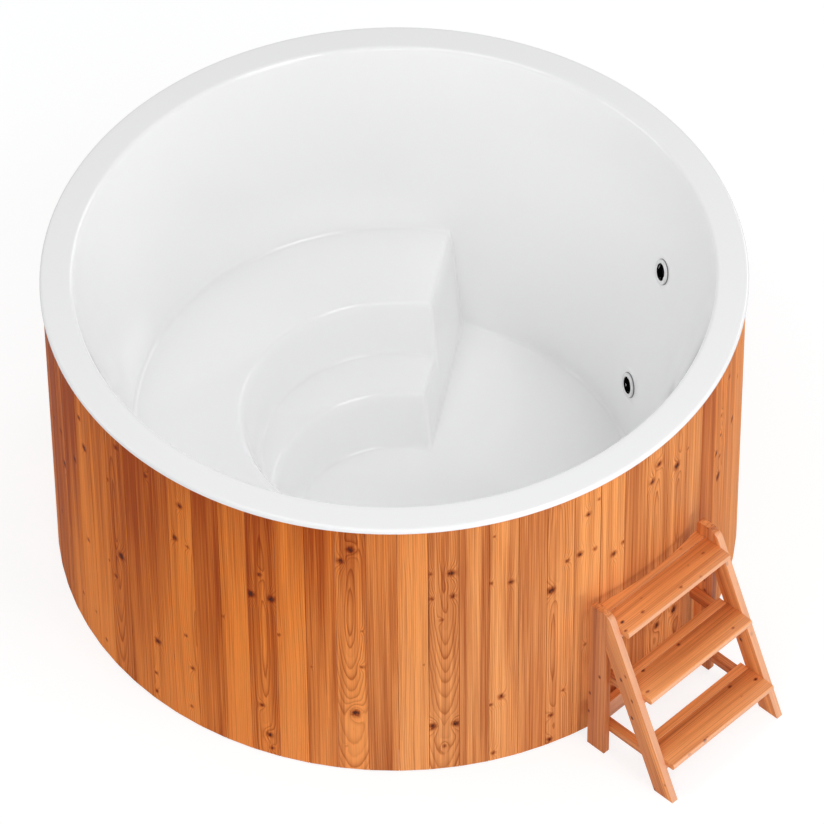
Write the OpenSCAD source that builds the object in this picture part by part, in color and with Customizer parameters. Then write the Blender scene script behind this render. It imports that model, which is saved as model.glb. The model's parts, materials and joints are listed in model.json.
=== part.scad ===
// Round cold plunge tub: a one-piece moulded liner with a bench and a step,
// carried by a timber frame, clad in upright boards, with a loose three-tread stair.
// The axis of the tub is Z, the ground is z = 0, and the stair stands towards +X -Y.

/* [Tub wall] */
// Radius of the timber wall, to the joints between its boards
wall_r = 1000; // [900:5:1300]
// Height of the rim's top above the ground
tub_h = 1020; // [940:5:1200]
// Number of boards round the wall
board_n = 73; // [60:1:90]
// Thickness of a wall board
board_t = 20; // [16:0.5:28]
// Open joint between two boards
board_gap = 0.6; // [0.4:0.1:2]
// Size of the bevel along each board's outer edges
board_bevel = 2.2; // [0.5:0.1:4]
// How far a board's tongue reaches into the next board
tongue_l = 5; // [3:0.5:7]
// Thickness of a board's tongue
tongue_t = 6; // [4:0.5:7]
// Room round a tongue in its groove
tongue_room = 0.5; // [0.3:0.1:1]
// Height of the boards' lower ends above the ground
board_foot = 4; // [2:1:12]

/* [Liner] */
// Thickness of the moulded liner
shell_t = 8; // [5:0.5:12]
// Width of the flat rim, from its outer face to its inner edge
rim_w = 92; // [70:1:130]
// Thickness of the lip that hangs over the boards
lip_t = 5.2; // [4:0.1:9]
// Room between the lip and the boards
lip_room = 1.2; // [0.6:0.1:4]
// Height of the rim's outer lip
lip_h = 17; // [14:1:60]
// Rounding of the rim's outer edge
rim_round = 8; // [4:0.5:12]
// Rounding of the rim's inner edge
rim_inner_round = 14; // [6:1:20]
// How much the wall leans in from the rim down to the floor
wall_run = 212; // [120:1:240]
// How far the middle of the wall lies inside a straight line
wall_sag = 20; // [0:1:30]
// Rounding between the wall and the floor
floor_fillet = 22; // [10:1:40]

/* [Bench and step] */
// Height of the bench above the bathing floor
bench_h = 325; // [280:5:380]
// Height of the step above the bathing floor
step_h = 165; // [120:5:200]
// Radius of the bench's front edge
bench_r = 450; // [400:5:500]
// Slope of the front faces of the bench and the step, in degrees
riser_draft = 18; // [8:1:22]
// Rounding of the front edges of the bench and the step
edge_round = 14; // [6:1:20]
// Rounding between the bench and the wall
bench_fillet = 12; // [6:1:16]
// Direction of the bench's straight end, in degrees from +X
end_az = 78.6; // [60:0.2:110]
// Distance of the bench's straight end from the tub's axis, at the floor
end_off = 66; // [0:1:100]
// Slope of the bench's straight end, in degrees
end_draft = 7.7; // [4:0.1:12]
// Bevel along the top of the bench's straight end
end_bevel = 9; // [4:0.5:16]
// Radius of the step's front edge
step_r = 363; // [330:1:380]
// Place of the centre of the step's round front edge, along X
step_x = 8; // [-20:1:20]
// Place of the centre of the step's round front edge, along Y
step_y = -134; // [-150:1:-90]

/* [Timber frame] */
// Height of the bearers under the tub
bearer_h = 70; // [68:1:120]
// Width of a bearer
bearer_w = 45; // [38:1:60]
// Number of bearers
bearer_n = 5; // [5:2:7]
// Distance between the middles of two bearers
bearer_pitch = 310; // [280:5:320]
// Distance from the boards to the ends of the bearers
bearer_inset = 25; // [10:1:60]
// Thickness of the base disc
disc_t = 18; // [15:1:24]
// Thickness of the bedding sheet under the liner
bedding_t = 9; // [4:0.5:20]
// Thickness of the ring plates behind the boards
ring_t = 18; // [15:1:24]
// Height of the middle ring's underside above the ground
mid_ring_z = 500; // [460:5:560]
// Number of posts in a row behind the boards
post_n = 8; // [6:1:12]
// Depth of a post, towards the tub's axis
post_d = 38; // [30:1:45]
// Width of a post
post_w = 60; // [45:1:80]
// Number of posts under the bench
bench_post_n = 5; // [3:1:6]
// Side of a post under the bench
bench_post_w = 45; // [38:1:60]
// Thickness of the insulation round the liner
insulation_t = 20; // [10:1:25]
// Room between two pieces that are fitted face to face round a curve
fit_room = 0.3; // [0.3:0.1:1]

/* [Water fittings] */
// Direction of the two wall fittings, in degrees from +X
fit_az = 19.5; // [5:0.5:30]
// Height of the upper wall fitting above the ground
fit_high_z = 717; // [640:1:760]
// Height of the lower wall fitting above the ground
fit_low_z = 279; // [240:1:340]
// Outer radius of a wall fitting's flange
flange_r = 37.5; // [36:0.5:45]
// Thickness of a wall fitting's flange
flange_t = 5; // [4:0.5:8]
// Radius of a wall fitting's threaded barrel
barrel_r = 31; // [30:0.5:34]
// Thickness of a gasket
gasket_t = 2.5; // [1.5:0.5:4]
// Height of the flat pads moulded on the wall for a fitting
pad_h = 2.5; // [2.2:0.1:4]
// Outer radius of the water pipes
pipe_r = 25; // [20:0.5:28]
// Wall of the water pipes
pipe_t = 3; // [2:0.5:5]
// Length of the water pipes that stands out of the boards
pipe_out = 45; // [42:1:80]
// Depth of the couplings' sockets
coupling_l = 28; // [20:1:32]
// Thickness of the stop ring inside a coupling
stop_t = 3; // [2:0.5:5]
// Wall of the couplings
coupling_t = 3.6; // [2.5:0.1:5]
// Mean radius of the pipe thread in the couplings' free ends
thread_r = 29.1; // [28:0.1:30]
// Distance across the flats of a lock nut
nut_af = 78; // [72:1:84]
// Thickness of a lock nut
nut_t = 16; // [12:1:20]
// Room round a pipe where it passes through a board
pipe_room = 2; // [1:0.5:4]

/* [Drain] */
// Direction of the drain pipe and of the bearers, in degrees from the bench's straight end
drain_turn = 6.4; // [-4:0.2:20]
// Sideways distance of the drain from the tub's axis
drain_side = 200; // [150:5:230]
// Distance from the drain's flange to the rounding at the foot of the wall
drain_inset = 15; // [12:1:60]
// Height of the drain pipe's middle above the ground
drain_z = 38; // [36:1:40]
// Radius of the drain's floor flange
drain_flange_r = 45; // [42:1:60]
// Thickness of the drain's floor flange
drain_flange_t = 4; // [3:0.5:6]
// Radius of the middle of the drain elbow's bend
elbow_bend = 32; // [30:1:34]
// Wall of the sockets on the elbow and the valve
socket_t = 3.4; // [2.5:0.1:4]
// Depth of the sockets on the elbow and the valve
socket_l = 20; // [14:1:28]
// Radius of the valve's ball
ball_r = 27; // [26:0.5:28]
// Radius of the hole through the ball
ball_bore = 17; // [12:0.5:18]
// Length of the valve's handle
handle_l = 110; // [80:5:140]

/* [Stair] */
// Direction of the stair, in degrees from +X
stair_az = -45; // [-80:1:-20]
// Sideways distance of the stair's middle from the line through the tub's axis
stair_shift = -26; // [-60:1:60]
// Overall width of the stair
stair_w = 462; // [400:1:560]
// Overall height of the stair
stair_h = 588; // [560:1:680]
// Depth of the stair on the ground
stair_depth = 332; // [320:1:400]
// Distance from the boards to the backs of the stair's rear legs
stair_gap = 11; // [6:1:30]
// Slope of the stringers, in degrees from upright
stair_lean = 23.8; // [20:0.2:26]
// Thickness of the side boards
side_t = 21.5; // [18:0.5:28]
// Width of the rear legs and of the stringers
side_w = 65; // [55:1:80]
// Rounding of the front top corner of the side frames
side_round = 40; // [15:1:50]
// Rounding of the rear top corner of the side frames
rear_round = 16; // [6:1:25]
// Thickness of the tread boards
tread_t = 21.5; // [18:0.5:28]
// Height of the lowest tread's top above the ground
first_rise = 130; // [120:1:150]
// Rise from one tread to the next
tread_rise = 207; // [190:1:215]
// Width of a tread's front board
tread_front_w = 98; // [85:1:110]
// Width of a tread's rear board
tread_rear_w = 30; // [24:1:45]
// Open joint between a tread's two boards
tread_gap = 1; // [0.5:0.5:6]
// How far a tread's nose stands out of the stringers
nose_out = 40; // [20:1:48]
// Rounding of a tread's nose
nose_round = 9; // [4:0.5:10]
// Distance between the boards and the top tread's hollow rear edge
tread_wall_gap = 24; // [15:1:40]
// Thickness of the battens under the treads
batten_t = 24; // [18:1:30]
// Height of the battens under the treads
batten_h = 28; // [20:1:40]
// Height of the rear rail
rail_h = 65; // [45:1:75]
// Height of the rear rail's underside above the ground
rail_z = 67; // [50:1:90]

/* [Hidden] */
$fn = 96;

// Colours
shell_white = [0.92, 0.92, 0.92];
wood_amber = [0.78, 0.45, 0.22];
wood_red = [0.74, 0.40, 0.20];
raw_timber = [0.80, 0.68, 0.48];
plywood = [0.84, 0.72, 0.52];
foam_yellow = [0.90, 0.84, 0.60];
fitting_white = [0.88, 0.88, 0.88];
plastic_grey = [0.42, 0.44, 0.46];
rubber_black = [0.10, 0.10, 0.10];
handle_red = [0.70, 0.12, 0.10];

// Heights that follow from the stack under the liner
disc_z = bearer_h;
bedding_z = disc_z + disc_t;
shell_z = bedding_z + bedding_t;
floor_z = shell_z + shell_t;
seat_z = floor_z + bench_h;
step_z = floor_z + step_h;
flange_z = tub_h - shell_t;

// Radii that follow from the wall
rim_r = wall_r + lip_room + lip_t;
rim_in = rim_r - rim_w;
pitch = 360 / board_n;
half_pitch = pitch / 2;
face_in = wall_r * cos(half_pitch) - board_t;
ring_r = face_in - fit_room;
wall_rise = tub_h - floor_z;

// Radius of the liner's inner face at height z
function wall_at(z) =
  let(s = (z - floor_z) / wall_rise)
  rim_in - wall_run * (1 - s) - 4 * wall_sag * s * (1 - s);

// Slope of the liner's inner face at height z, in degrees from upright
function wall_slope(z) =
  let(s = (z - floor_z) / wall_rise)
  atan((wall_run - 4 * wall_sag * (1 - 2 * s)) / wall_rise);

// Radius of the liner's outer face at height z
function wall_out(z) = wall_at(z) + shell_t;

// Points of an arc round c, from angle a to angle b, in n steps
function arc(c, r, a, b, n) =
  [for (i = [0:n]) c + r * [cos(a + (b - a) * i / n), sin(a + (b - a) * i / n)]];

// Points along the liner's inner face from height a to height b, moved out by d
function wall_line(a, b, d, n) =
  [for (i = [0:n]) let(z = a + (b - a) * i / n) [wall_at(z) + d, z]];

// Section of the bowl without its bench and step
rim_slope = wall_slope(tub_h - rim_inner_round);
foot_slope = wall_slope(floor_z + floor_fillet);
rim_top_z = tub_h - rim_inner_round + rim_inner_round * sin(rim_slope);
rim_round_c = [wall_at(rim_top_z) + rim_inner_round * cos(rim_slope), tub_h - rim_inner_round];
foot_top_z = floor_z + floor_fillet * (1 - sin(foot_slope));
foot_c = [wall_at(foot_top_z) - floor_fillet * cos(foot_slope), floor_z + floor_fillet];
outer_round = min(rim_round, lip_h - 2);
outer_c = [rim_r - outer_round, tub_h - outer_round];

bowl_section = concat(
  [[0, shell_z], [wall_out(floor_z) - floor_fillet, shell_z]],
  wall_line(floor_z + floor_fillet / 2, flange_z, shell_t, 12),
  [[wall_r + lip_room, flange_z], [wall_r + lip_room, tub_h - lip_h], [rim_r, tub_h - lip_h]],
  arc(outer_c, outer_round, 0, 90, 6),
  arc(rim_round_c, rim_inner_round, 90, 180 - rim_slope, 6),
  wall_line(rim_top_z - 10, foot_top_z + 5, 0, 12),
  arc(foot_c, floor_fillet, -foot_slope, -90, 5),
  [[0, floor_z]]
);

// Half-space on the bench's side of its straight end, moved in by d
module bench_side(d) {
  reach = 2 * wall_r;
  rotate([0, 0, end_az])
    translate([0, d - end_off, floor_z])
      rotate([-end_draft, 0, 0])
        translate([-reach, 0, -reach / 2]) cube([2 * reach, reach, reach]);
}

// Half-space that bevels the top edge of the straight end at height z
module end_bevel_side(z) {
  reach = 2 * wall_r;
  edge = (z - floor_z) * tan(end_draft) - end_off;
  rotate([0, 0, end_az])
    translate([0, edge, z - end_bevel])
      rotate([-45, 0, 0])
        translate([-reach, 0, -reach / 2]) cube([2 * reach, reach, reach]);
}

// Section of a moulded ledge with a sloping, round-edged front: from its foot
// at height low up to its top at height z, with its front edge at radius r
function ledge(r, z, low, out, d) =
  let(tip = edge_round / tan((90 + riser_draft) / 2),
      c = [r + tip, z - edge_round])
  concat(
    [[r - (z - low) * tan(riser_draft) + d, low]],
    arc(c + [d, 0], edge_round, 180 - riser_draft, 90, 5),
    [[out, z], [out, low]]
  );

bench_out = wall_at(seat_z) + shell_t / 2;
fillet_top = seat_z + bench_fillet;
seat_fillet_c = [wall_at(fillet_top) - bench_fillet, fillet_top];
bench_low = floor_z - shell_t / 2;
bench_section = concat(
  [[bench_r - (seat_z - bench_low) * tan(riser_draft), bench_low]],
  arc([bench_r + edge_round / tan((90 + riser_draft) / 2), seat_z - edge_round],
      edge_round, 180 - riser_draft, 90, 5),
  arc(seat_fillet_c, bench_fillet, 270, 345, 4),
  [[wall_at(fillet_top) + shell_t / 2, fillet_top], [wall_at(bench_low), bench_low]]
);

module bench_body() {
  intersection() {
    rotate_extrude() polygon(bench_section);
    bench_side(0);
    end_bevel_side(seat_z);
  }
}

module step_body() {
  intersection() {
    translate([step_x, step_y, 0])
      rotate_extrude() polygon(ledge(step_r, step_z, bench_low, 2 * step_r, 0));
    cylinder(r = bench_r + shell_t, h = tub_h);
    bench_side(0);
    end_bevel_side(step_z);
  }
}

// Space under the bench and the step, open below
module bench_hollow() {
  intersection() {
    rotate_extrude()
      polygon(ledge(bench_r, seat_z - shell_t, -1, wall_r, shell_t));
    bench_side(shell_t);
  }
}

module step_hollow() {
  intersection() {
    translate([step_x, step_y, 0])
      rotate_extrude() polygon(ledge(step_r, step_z - shell_t, -1, 2 * step_r, shell_t));
    translate([0, 0, -1]) cylinder(r = bench_r + 2 * shell_t, h = tub_h);
    bench_side(shell_t);
  }
}

// Places a wall fitting at height z: its own +Z points out through the wall,
// square to it, and its z = 0 lies on the liner's inner face
module at_fitting(z) {
  rotate([0, 0, fit_az])
    translate([wall_at(z), 0, z])
      rotate([0, 90 + wall_slope(z), 0])
        children();
}

pad_r = nut_af / 2 / cos(30) + 2;
barrel_room = 0.5;
pad_out = shell_t + pad_h;

module fitting_pads(z) {
  at_fitting(z) translate([0, 0, -pad_h]) cylinder(r = pad_r, h = pad_h + pad_out);
}

module fitting_hole(z) {
  at_fitting(z) translate([0, 0, -3 * pad_h])
    cylinder(r = barrel_r + barrel_room, h = 6 * pad_h + pad_out);
}

// Places the drain's own parts: +X runs along the drain pipe, z = 0 is the ground
drain_az = end_az + drain_turn;
drain_r = wall_at(floor_z) - floor_fillet - drain_flange_r - drain_inset;
drain_along = -sqrt(pow(drain_r, 2) - pow(drain_side, 2));

module at_drain() {
  rotate([0, 0, drain_az]) translate([drain_along, -drain_side, 0]) children();
}

module liner() {
  color(shell_white)
    difference() {
      union() {
        rotate_extrude() polygon(bowl_section);
        bench_body();
        step_body();
        fitting_pads(fit_high_z);
        fitting_pads(fit_low_z);
      }
      bench_hollow();
      step_hollow();
      fitting_hole(fit_high_z);
      fitting_hole(fit_low_z);
      at_drain() translate([0, 0, shell_z - 1]) cylinder(r = pipe_r + barrel_room, h = shell_t + 2);
    }
}

// Foam jacket round the liner, between the floor and the rim
jacket_low = floor_z + floor_fillet;
jacket_top = flange_z - ring_t - 30;
jacket_section = concat(
  wall_line(jacket_low, jacket_top, shell_t + fit_room, 12),
  wall_line(jacket_top, jacket_low, shell_t + fit_room + insulation_t, 12)
);

module wall_insulation() {
  nut_pocket = pad_r + 3;
  color(foam_yellow)
    difference() {
      rotate_extrude() polygon(jacket_section);
      intersection() {
        cylinder(r = wall_r, h = seat_z + 2 * bench_fillet);
        bench_side(-fit_room);
      }
      for (z = [fit_high_z, fit_low_z])
        at_fitting(z) cylinder(r = nut_pocket, h = pad_out + 3 * insulation_t);
    }
}

nut_access_r = pad_r + 8;

module bedding_sheet() {
  color(foam_yellow)
    difference() {
      translate([0, 0, bedding_z])
        cylinder(r = wall_out(floor_z) - floor_fillet, h = bedding_t);
      bench_hollow();
      step_hollow();
      at_drain() translate([0, 0, bedding_z - 1]) cylinder(r = nut_access_r, h = bedding_t + 2);
    }
}

module base_disc() {
  color(plywood)
    difference() {
      translate([0, 0, disc_z]) cylinder(r = ring_r, h = disc_t);
      at_drain() translate([0, 0, disc_z - 1]) cylinder(r = nut_access_r, h = disc_t + 2);
    }
}

// A flat ring behind the boards, from radius r out to the boards
module ring_plate(r, z) {
  color(plywood)
    translate([0, 0, z])
      difference() {
        cylinder(r = ring_r, h = ring_t);
        translate([0, 0, -1]) cylinder(r = r, h = ring_t + 2);
      }
}

upper_ring_z = flange_z - ring_t - fit_room;

module middle_ring() {
  ring_plate(wall_out(mid_ring_z + ring_t) + insulation_t + 3 * fit_room, mid_ring_z);
}

module upper_ring() {
  ring_plate(wall_out(flange_z) + 4, upper_ring_z);
}

module bearers() {
  color(raw_timber)
    rotate([0, 0, drain_az])
      for (i = [0:bearer_n - 1]) {
        side = (i - (bearer_n - 1) / 2) * bearer_pitch;
        half = sqrt(pow(face_in - bearer_inset, 2) - pow(abs(side) + bearer_w / 2, 2));
        translate([-half, side - bearer_w / 2, 0]) cube([2 * half, bearer_w, bearer_h]);
      }
}

// A ring of posts against the backs of the boards, kept clear of the fittings
module post_row(low, top) {
  color(raw_timber)
    for (i = [0:post_n - 1])
      rotate([0, 0, fit_az + (i + 0.5) * 360 / post_n])
        translate([face_in - post_d - 3, -post_w / 2, low]) cube([post_d, post_w, top - low]);
}

module lower_posts() {
  post_row(bedding_z, mid_ring_z);
}

module upper_posts() {
  post_row(mid_ring_z + ring_t, upper_ring_z);
}

// Posts under the bench, from the base disc to the underside of the bench
module bench_posts() {
  middle_r = (bench_r + wall_at(seat_z)) / 2 + shell_t;
  color(raw_timber)
    for (i = [0:bench_post_n - 1])
      rotate([0, 0, end_az + 180 * (i + 0.5) / bench_post_n])
        translate([middle_r - bench_post_w / 2, -bench_post_w / 2, bedding_z])
          cube([bench_post_w, bench_post_w, seat_z - shell_t - fit_room - bedding_z]);
}

// A point on side s (1 or -1) of a board: at radius r on the joint's middle
// plane, and e out from that plane
function side_point(r, s, e) =
  let(a = s * half_pitch)
  [r * cos(a) - s * e * sin(a), r * sin(a) + s * e * cos(a)];

// Outline of one tongue-and-groove board, seen from above, facing +X
inset = -board_gap / 2;
back_r = face_in / cos(half_pitch);
tongue_low = back_r + (board_t - tongue_t) / 2;
tongue_high = tongue_low + tongue_t;
face_x = wall_r * cos(half_pitch);
face_y = wall_r * sin(half_pitch) + inset - board_bevel;
groove_e = -tongue_l - tongue_room;
board_outline = [
  side_point(back_r, -1, inset),
  side_point(wall_r - board_bevel, -1, inset),
  [face_x, -face_y],
  [face_x, face_y],
  side_point(wall_r - board_bevel, 1, inset),
  side_point(tongue_high + tongue_room, 1, inset),
  side_point(tongue_high + tongue_room, 1, groove_e),
  side_point(tongue_low - tongue_room, 1, groove_e),
  side_point(tongue_low - tongue_room, 1, inset),
  side_point(back_r, 1, inset)
];
tongue_outline = [
  side_point(tongue_low, -1, 2 * inset),
  side_point(tongue_low, -1, tongue_l),
  side_point(tongue_high, -1, tongue_l),
  side_point(tongue_high, -1, 2 * inset)
];
plain_outline = concat(
  [side_point(back_r, -1, inset), side_point(tongue_low, -1, inset)],
  [side_point(tongue_low, -1, tongue_l), side_point(tongue_high, -1, tongue_l)],
  [side_point(tongue_high, -1, inset)],
  [for (i = [1:9]) board_outline[i]]
);

// The first joint lies at this angle
first_joint = 3.5;
board_top = flange_z - fit_room;

module board(i) {
  rotate([0, 0, first_joint + (i + 0.5) * pitch])
    translate([0, 0, board_foot])
      linear_extrude(height = board_top - board_foot) polygon(plain_outline);
}

// The holes for the two pipes and the notch for the drain pipe
module board_cuts() {
  for (z = [fit_high_z, fit_low_z])
    at_fitting(z) cylinder(r = pipe_r + pipe_room, h = wall_r);
  at_drain()
    translate([0, 0, drain_z]) {
      rotate([0, 90, 0]) cylinder(r = pipe_r + pipe_room, h = 2 * wall_r);
      translate([0, -pipe_r - pipe_room, -drain_z])
        cube([2 * wall_r, 2 * (pipe_r + pipe_room), drain_z]);
    }
}

group_n = 12;
group_size = floor(board_n / group_n);

// One group of boards: an equal share of them, and the last group takes the rest
module board_group(g) {
  low = g * group_size;
  high = g == group_n - 1 ? board_n - 1 : low + group_size - 1;
  color(wood_amber)
    for (i = [low:high]) {
      az = first_joint + (i + 0.5) * pitch;
      notch_az = drain_az - asin(drain_side / wall_r);
      if (abs(az - fit_az) < 2 * pitch || abs(az - notch_az) < 2 * pitch)
        difference() {
          board(i);
          board_cuts();
        }
      else
        board(i);
    }
}

module wall_boards_01() { board_group(0); }
module wall_boards_02() { board_group(1); }
module wall_boards_03() { board_group(2); }
module wall_boards_04() { board_group(3); }
module wall_boards_05() { board_group(4); }
module wall_boards_06() { board_group(5); }
module wall_boards_07() { board_group(6); }
module wall_boards_08() { board_group(7); }
module wall_boards_09() { board_group(8); }
module wall_boards_10() { board_group(9); }
module wall_boards_11() { board_group(10); }
module wall_boards_12() { board_group(11); }

// A flanged and threaded wall fitting with its bore
seat_low = -pad_h - gasket_t;
barrel_end = pad_out + nut_t + 8;
bore_r = pipe_r + fit_room;
flange_profile = concat(
  [[bore_r, barrel_end], [bore_r, seat_low - flange_t + 2]],
  [[bore_r + 2, seat_low - flange_t]],
  arc([flange_r - 3, seat_low - flange_t + 3], 3, -90, 0, 4),
  [[flange_r, seat_low], [barrel_r, seat_low], [barrel_r, barrel_end]]
);

module wall_fitting(z) {
  color(fitting_white) at_fitting(z) rotate_extrude() polygon(flange_profile);
}

module wall_gasket(z) {
  color(rubber_black)
    at_fitting(z)
      translate([0, 0, seat_low])
        difference() {
          cylinder(r = flange_r + 1, h = gasket_t);
          translate([0, 0, -1]) cylinder(r = barrel_r + fit_room, h = gasket_t + 2);
        }
}

// A hexagonal lock nut with its bore, standing on z = 0
module locknut(bore) {
  color(plastic_grey)
    difference() {
      cylinder(r = nut_af / 2 / cos(30), h = nut_t, $fn = 6);
      translate([0, 0, -1]) cylinder(r = bore, h = nut_t + 2);
    }
}

module wall_locknut(z) {
  at_fitting(z) translate([0, 0, pad_out]) locknut(barrel_r + fit_room);
}

// Distance from the liner's inner face to a pipe's outer end, along the pipe
function pipe_end(z) = (wall_r + pipe_out - wall_at(z)) / cos(wall_slope(z));

// A straight pipe glued into the fitting, long enough to stand out of the boards
module wall_pipe(z) {
  start = pad_out;
  length = pipe_end(z) - start;
  color(plastic_grey)
    at_fitting(z)
      translate([0, 0, start])
        difference() {
          cylinder(r = pipe_r, h = length);
          translate([0, 0, -1]) cylinder(r = pipe_r - pipe_t, h = length + 2);
        }
}

// A coupling glued on the pipe's outer end, with a free threaded socket for the next pipe
module wall_coupling(z) {
  color(plastic_grey)
    at_fitting(z)
      translate([0, 0, pipe_end(z)])
        difference() {
          union() {
            translate([0, 0, -coupling_l])
              cylinder(r = bore_r + coupling_t, h = coupling_l + stop_t);
            cylinder(r = thread_r + coupling_t, h = stop_t + coupling_l);
          }
          translate([0, 0, -coupling_l - 1]) cylinder(r = bore_r, h = coupling_l + 1);
          translate([0, 0, -1]) cylinder(r = pipe_r - pipe_t, h = stop_t + 2);
          translate([0, 0, stop_t]) cylinder(r = thread_r, h = coupling_l + 1);
        }
}

module upper_fitting() { wall_fitting(fit_high_z); }
module upper_gasket() { wall_gasket(fit_high_z); }
module upper_locknut() { wall_locknut(fit_high_z); }
module upper_pipe() { wall_pipe(fit_high_z); }
module upper_coupling() { wall_coupling(fit_high_z); }
module lower_fitting() { wall_fitting(fit_low_z); }
module lower_gasket() { wall_gasket(fit_low_z); }
module lower_locknut() { wall_locknut(fit_low_z); }
module lower_pipe() { wall_pipe(fit_low_z); }
module lower_coupling() { wall_coupling(fit_low_z); }

// The drain's upright barrel hangs from a flange on the bathing floor
drain_bore = pipe_r - 5;
elbow_mouth_z = drain_z + elbow_bend;
strainer_r = pipe_r + 9;
drain_seat = floor_z + gasket_t;

module drain_fitting() {
  lip = 1.5;
  color(fitting_white)
    at_drain()
      rotate_extrude()
        polygon([
          [drain_bore, elbow_mouth_z], [pipe_r, elbow_mouth_z], [pipe_r, drain_seat],
          [drain_flange_r, drain_seat], [drain_flange_r, drain_seat + lip],
          [drain_flange_r - 4, drain_seat + drain_flange_t],
          [strainer_r + fit_room, drain_seat + drain_flange_t],
          [strainer_r + fit_room, drain_seat + lip], [drain_bore, drain_seat + lip]
        ]);
}

// Round strainer plate in the recess of the flange, with three rings of slots
module drain_strainer() {
  plate_z = drain_seat + 1.5;
  plate_t = drain_flange_t - 1.5;
  color(plastic_grey)
    at_drain()
      translate([0, 0, plate_z])
        difference() {
          cylinder(r = strainer_r, h = plate_t);
          for (a = [0:30:330])
            rotate([0, 0, a]) translate([6, -1.5, -1]) cube([drain_bore - 8, 3, plate_t + 2]);
        }
}

module drain_gasket() {
  color(rubber_black)
    at_drain()
      translate([0, 0, floor_z])
        difference() {
          cylinder(r = drain_flange_r - 1, h = gasket_t);
          translate([0, 0, -1]) cylinder(r = pipe_r + fit_room, h = gasket_t + 2);
        }
}

drain_nut_t = shell_z - elbow_mouth_z - socket_t - 9;

module drain_locknut() {
  color(plastic_grey)
    at_drain()
      translate([0, 0, shell_z - drain_nut_t])
        difference() {
          cylinder(r = nut_af / 2 / cos(30), h = drain_nut_t, $fn = 6);
          translate([0, 0, -1]) cylinder(r = pipe_r + fit_room, h = drain_nut_t + 2);
        }
}

// Quarter bend under the floor, with a short collar up round the barrel and a
// socket for the pipe
socket_r = pipe_r + fit_room + socket_t;
collar_l = 9;

module drain_elbow() {
  color(plastic_grey)
    at_drain()
      difference() {
        union() {
          translate([0, 0, elbow_mouth_z]) cylinder(r = socket_r, h = collar_l);
          translate([elbow_bend, 0, elbow_mouth_z])
            rotate([90, 0, 0]) rotate([0, 0, 180])
              rotate_extrude(angle = 90) translate([elbow_bend, 0]) circle(r = socket_r);
          translate([elbow_bend, 0, drain_z]) rotate([0, 90, 0]) cylinder(r = socket_r, h = socket_l);
        }
        translate([0, 0, elbow_mouth_z]) cylinder(r = pipe_r + fit_room, h = collar_l + 1);
        translate([elbow_bend, 0, elbow_mouth_z])
          rotate([90, 0, 0]) rotate([0, 0, 180])
            rotate_extrude(angle = 90) translate([elbow_bend, 0]) circle(r = drain_bore);
        translate([elbow_bend, 0, drain_z])
          rotate([0, 90, 0]) cylinder(r = pipe_r + fit_room, h = socket_l + 1);
      }
}

// The valve stands outside the boards; its own X runs along the drain pipe
wall_x = sqrt(pow(wall_r, 2) - pow(drain_side, 2)) - drain_along;
seat_x = ball_r + 5;
valve_half = seat_x + socket_l;
valve_x = wall_x + 25 + valve_half;
stem_r = 7;
stem_top = drain_z + ball_r + 22;
neck_r = 13;
neck_top = drain_z + ball_r + 14;

module drain_pipe() {
  start = elbow_bend;
  stop = valve_x - seat_x;
  color(plastic_grey)
    at_drain()
      translate([start, 0, drain_z])
        rotate([0, 90, 0])
          difference() {
            cylinder(r = pipe_r, h = stop - start);
            translate([0, 0, -1]) cylinder(r = pipe_r - pipe_t, h = stop - start + 2);
          }
}

module valve_body() {
  body_r = ball_r + 7;
  color(plastic_grey)
    at_drain()
      translate([valve_x, 0, drain_z])
        difference() {
          union() {
            rotate([0, 90, 0]) translate([0, 0, -valve_half])
              cylinder(r = socket_r, h = 2 * valve_half);
            rotate([0, 90, 0]) translate([0, 0, -seat_x]) cylinder(r = body_r, h = 2 * seat_x);
            cylinder(r = neck_r, h = neck_top - drain_z);
          }
          sphere(r = ball_r + fit_room);
          cylinder(r = stem_r + fit_room, h = 4 * ball_r);
          rotate([0, 90, 0]) translate([0, 0, -2 * valve_half])
            cylinder(r = ball_bore, h = 4 * valve_half);
          for (a = [-90, 90])
            rotate([0, a, 0]) translate([0, 0, seat_x]) cylinder(r = bore_r, h = valve_half);
        }
}

// Ball and stem of the valve, closed: the hole through the ball lies across the pipe
module valve_ball() {
  color(fitting_white)
    at_drain()
      translate([valve_x, 0, drain_z])
        difference() {
          union() {
            sphere(r = ball_r);
            cylinder(r = stem_r, h = stem_top - drain_z);
          }
          rotate([90, 0, 0]) translate([0, 0, -2 * ball_r]) cylinder(r = ball_bore, h = 4 * ball_r);
        }
}

// Bar handle on the stem, lying across the pipe while the valve is closed
module valve_handle() {
  bar_w = 16;
  hub_r = 15;
  hub_h = 16;
  hub_z = neck_top + 1;
  color(handle_red)
    at_drain()
      translate([valve_x, 0, hub_z])
        difference() {
          union() {
            cylinder(r = hub_r, h = hub_h);
            translate([-bar_w / 2, -handle_l / 2, hub_h / 4]) cube([bar_w, handle_l, hub_h / 2]);
            for (s = [-1, 1])
              translate([0, s * handle_l / 2, hub_h / 4]) cylinder(r = bar_w / 2, h = hub_h / 2);
          }
          translate([0, 0, -1]) cylinder(r = stem_r, h = stem_top - hub_z + 1);
        }
}

// The stair's own frame: +X points away from the tub, Y runs across the stair
module at_stair() {
  rotate([0, 0, stair_az]) translate([0, stair_shift, 0]) children();
}

leg_back = wall_r + stair_gap;
leg_front = leg_back + side_w;
foot_front = leg_back + stair_depth;
lean_run = tan(stair_lean);
foot_w = side_w / cos(stair_lean);
corner_x = foot_front - stair_h * lean_run;

// The head's front rounding, limited by the head's depth behind it, and its end on the slope
head_turn = tan((90 + stair_lean) / 2);
head_round = min(side_round, (corner_x - leg_back - rear_round) * head_turn);
round_c = [corner_x - head_round / head_turn, stair_h - head_round];
round_end = round_c[0] + head_round * cos(stair_lean);
side_joint = 0.3;

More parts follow.
